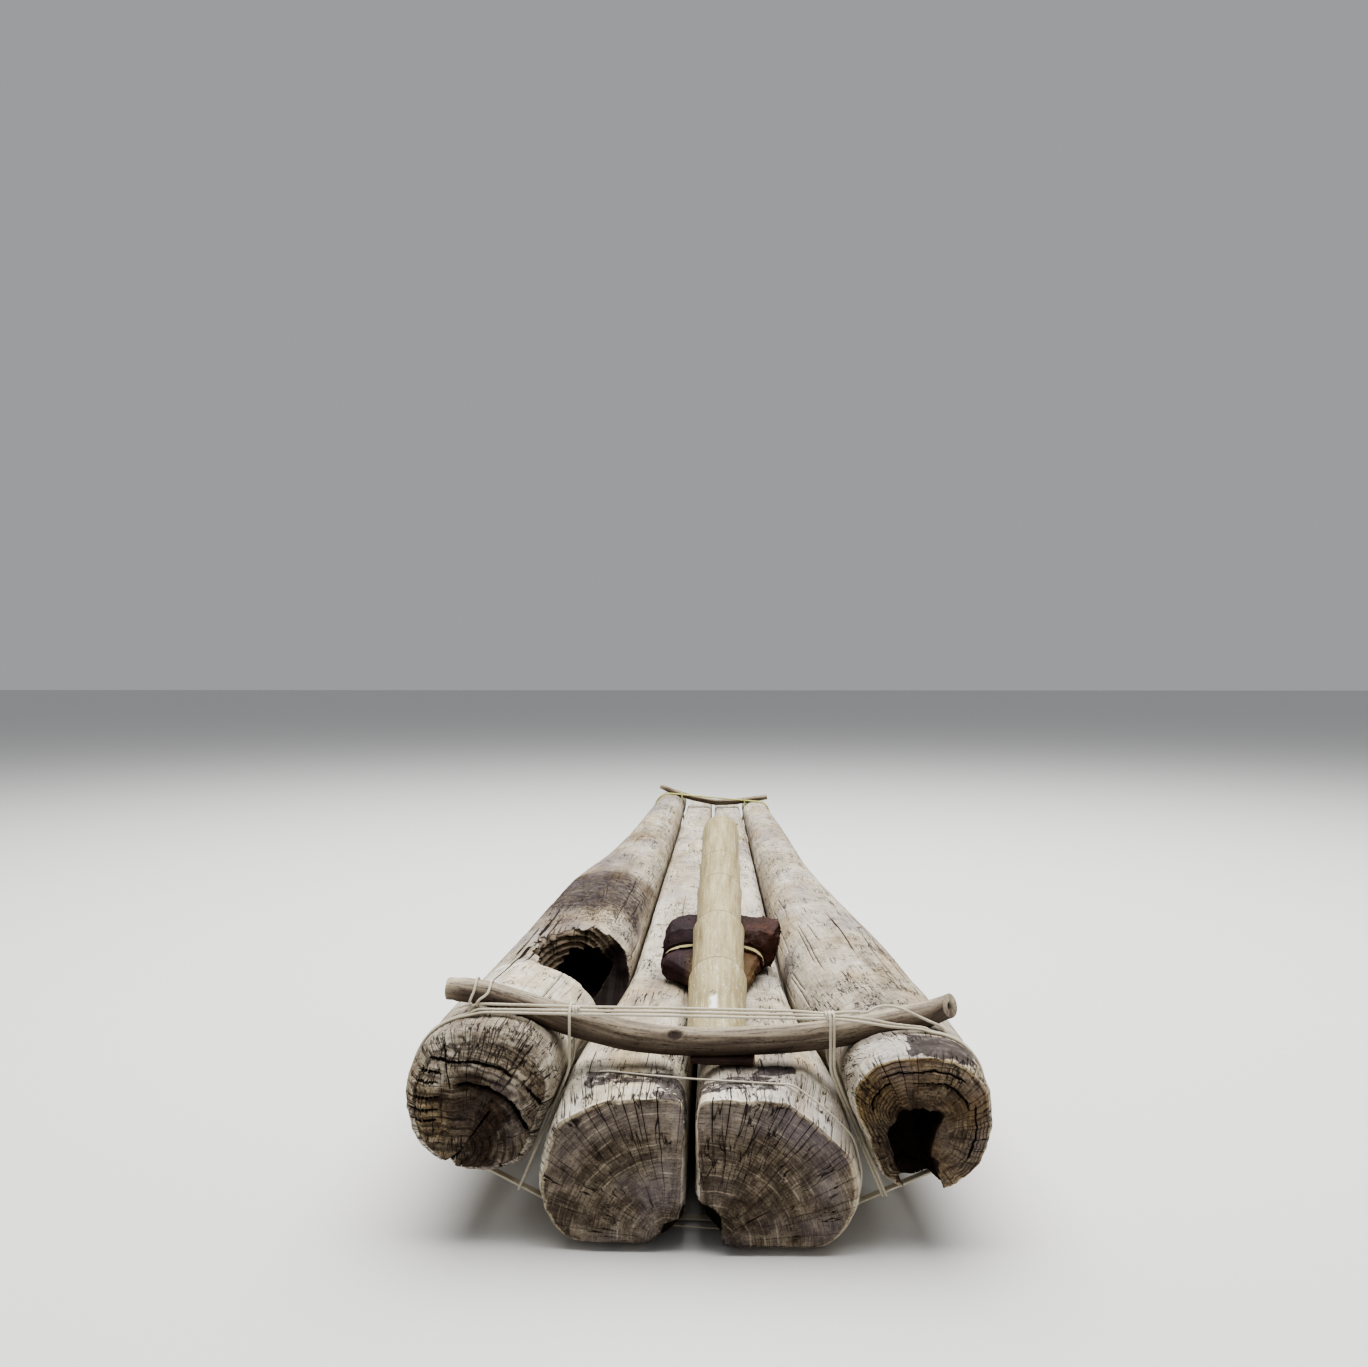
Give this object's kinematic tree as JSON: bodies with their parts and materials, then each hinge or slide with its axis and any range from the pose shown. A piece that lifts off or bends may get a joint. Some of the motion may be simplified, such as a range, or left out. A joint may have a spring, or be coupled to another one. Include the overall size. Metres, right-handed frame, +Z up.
{
  "type": "lashed log raft",
  "caption": "Raft of tapering driftwood logs lashed side by side to bent crossbeams at bow and stern, with a split bamboo paddle and an anchor stone on its deck.",
  "frame": {"origin": "on the ground under the middle of the raft's length and width", "axes": "+Y along the logs from the wide stern to the narrow bow, +X to starboard, +Z up"},
  "size_m": [1.0317, 4.75, 0.5539],
  "materials": {
    "weathered_log": "sun-bleached bare driftwood, cracked along the grain",
    "branch_wood": "barkless branch, smooth and streaked",
    "dark_stick": "wet dark stick",
    "split_bamboo": "satin bamboo skin",
    "cream_cord": "twisted fibre cord, faded",
    "yellow_green_rope": "laid plastic rope, faded",
    "dark_stone": "damp rough stone"
  },
  "bodies": {
    "raft": {"log_outer_left": "weathered_log", "log_inner_left": "weathered_log", "log_inner_right": "weathered_log", "log_outer_right": "weathered_log", "stern_beam": "branch_wood", "bow_beam": "branch_wood", "beam_wedge": "dark_stick", "anchor_stone": "dark_stone", "stern_hoop_turn_1": "cream_cord", "stern_hoop_turn_2": "cream_cord", "stern_hoop_turn_3": "cream_cord", "stern_frapping_left": "cream_cord", "stern_frapping_right_1": "cream_cord", "stern_frapping_right_2": "cream_cord", "beam_end_hitch_turn_1": "cream_cord", "beam_end_hitch_turn_2": "cream_cord", "inner_log_lashing": "cream_cord", "stone_cord_turn_1": "cream_cord", "stone_cord_turn_2": "cream_cord", "stone_cord_turn_3": "cream_cord", "bow_hoop_turn_1": "yellow_green_rope", "bow_hoop_turn_2": "yellow_green_rope", "bow_hoop_turn_3": "yellow_green_rope", "bow_frapping_left": "yellow_green_rope", "bow_frapping_right": "yellow_green_rope"},
    "paddle": {"paddle": "split_bamboo"}
  },
  "joints": [
    {"name": "paddle_lift", "type": "slide", "parent": "raft", "child": "paddle", "axis": [0, 0, 1], "range_m": [0, 0.5]}
  ]
}
